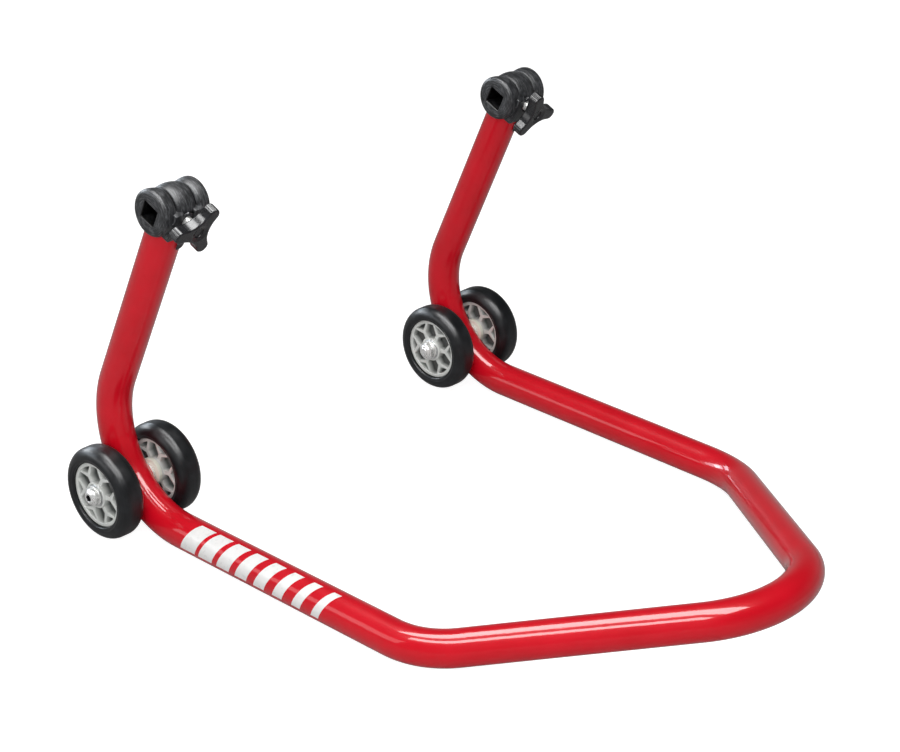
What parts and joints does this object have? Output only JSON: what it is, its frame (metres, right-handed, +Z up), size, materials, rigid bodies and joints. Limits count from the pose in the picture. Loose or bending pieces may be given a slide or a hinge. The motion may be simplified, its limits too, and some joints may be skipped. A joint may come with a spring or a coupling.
{
  "type": "motorcycle paddock stand",
  "caption": "Rear paddock stand: a bent steel tube with a V handle, twin wheels on each side and rubber-sleeved square socket heads with lobed clamp knobs.",
  "frame": {"origin": "centre of the bounding box in plan, on the floor plane under the arms", "axes": "+Y towards the wheel end and -Y towards the handle, +X the stand's right seen from the handle, +Z up"},
  "size_m": [0.5822, 0.67, 0.3735],
  "materials": {
    "red_paint": "gloss powder coat",
    "zinc": "bright zinc plate",
    "bare_steel": "mill finish",
    "bearing_steel": "ground and polished",
    "grey_plastic": "satin moulded",
    "white_nylon": "satin",
    "tyre": "satin rubber",
    "black_rubber": "matt moulded",
    "black_plastic": "gloss moulded"
  },
  "bodies": {
    "frame": {"frame_tube": "red_paint", "left_socket": "bare_steel", "left_clamp_nut": "bare_steel", "left_rubber_sleeve": "black_rubber", "left_axle_sleeve": "bare_steel", "left_axle_bolt": "zinc", "left_axle_nut": "zinc", "left_bolt_washer": "zinc", "left_nut_washer": "zinc", "left_outer_spacer": "white_nylon", "left_inner_spacer": "white_nylon", "right_socket": "bare_steel", "right_clamp_nut": "bare_steel", "right_rubber_sleeve": "black_rubber", "right_axle_sleeve": "bare_steel", "right_axle_bolt": "zinc", "right_axle_nut": "zinc", "right_bolt_washer": "zinc", "right_nut_washer": "zinc", "right_outer_spacer": "white_nylon", "right_inner_spacer": "white_nylon", "left_outer_wheel_bearing_sleeve": "bare_steel", "left_inner_wheel_bearing_sleeve": "bare_steel", "right_outer_wheel_bearing_sleeve": "bare_steel", "right_inner_wheel_bearing_sleeve": "bare_steel"},
    "left_outer_wheel": {"left_outer_wheel_tyre": "tyre", "left_outer_wheel_rim": "grey_plastic", "left_outer_wheel_bearing_left": "bearing_steel", "left_outer_wheel_bearing_right": "bearing_steel"},
    "left_inner_wheel": {"left_inner_wheel_tyre": "tyre", "left_inner_wheel_rim": "grey_plastic", "left_inner_wheel_bearing_left": "bearing_steel", "left_inner_wheel_bearing_right": "bearing_steel"},
    "right_outer_wheel": {"right_outer_wheel_tyre": "tyre", "right_outer_wheel_rim": "grey_plastic", "right_outer_wheel_bearing_left": "bearing_steel", "right_outer_wheel_bearing_right": "bearing_steel"},
    "right_inner_wheel": {"right_inner_wheel_tyre": "tyre", "right_inner_wheel_rim": "grey_plastic", "right_inner_wheel_bearing_left": "bearing_steel", "right_inner_wheel_bearing_right": "bearing_steel"},
    "left_thrust": {"left_thrust_pad": "bearing_steel"},
    "left_clamp_screw": {"left_knob": "black_plastic", "left_clamp_stud": "zinc"},
    "right_thrust": {"right_thrust_pad": "bearing_steel"},
    "right_clamp_screw": {"right_knob": "black_plastic", "right_clamp_stud": "zinc"}
  },
  "joints": [
    {"name": "left_outer_wheel_spin", "type": "hinge", "parent": "frame", "child": "left_outer_wheel", "pos_m": [-0.27046, 0.28806, 0.0484], "axis": [1, 0, 0], "continuous": true},
    {"name": "left_inner_wheel_spin", "type": "hinge", "parent": "frame", "child": "left_inner_wheel", "pos_m": [-0.19806, 0.28806, 0.0484], "axis": [1, 0, 0], "continuous": true},
    {"name": "right_outer_wheel_spin", "type": "hinge", "parent": "frame", "child": "right_outer_wheel", "pos_m": [0.27046, 0.28806, 0.0484], "axis": [1, 0, 0], "continuous": true},
    {"name": "right_inner_wheel_spin", "type": "hinge", "parent": "frame", "child": "right_inner_wheel", "pos_m": [0.19806, 0.28806, 0.0484], "axis": [1, 0, 0], "continuous": true},
    {"name": "left_clamp_feed", "type": "slide", "parent": "frame", "child": "left_thrust", "axis": [0, 0.9085, 0.4179], "range_m": [-0.00301, 0.00451]},
    {"name": "left_knob_turn", "type": "hinge", "parent": "left_thrust", "child": "left_clamp_screw", "pos_m": [-0.22983, 0.21384, 0.3512], "axis": [0, 0.9085, 0.4179], "range_deg": [-720, 1080]},
    {"name": "right_clamp_feed", "type": "slide", "parent": "frame", "child": "right_thrust", "axis": [0, 0.9085, 0.4179], "range_m": [-0.00301, 0.00451]},
    {"name": "right_knob_turn", "type": "hinge", "parent": "right_thrust", "child": "right_clamp_screw", "pos_m": [0.22983, 0.21384, 0.3512], "axis": [0, 0.9085, 0.4179], "range_deg": [-720, 1080]}
  ],
  "couplings": [
    {"joint": "left_clamp_feed", "follows": "left_knob_turn", "m_per_rad": 0.00023873},
    {"joint": "right_clamp_feed", "follows": "right_knob_turn", "m_per_rad": 0.00023873}
  ]
}
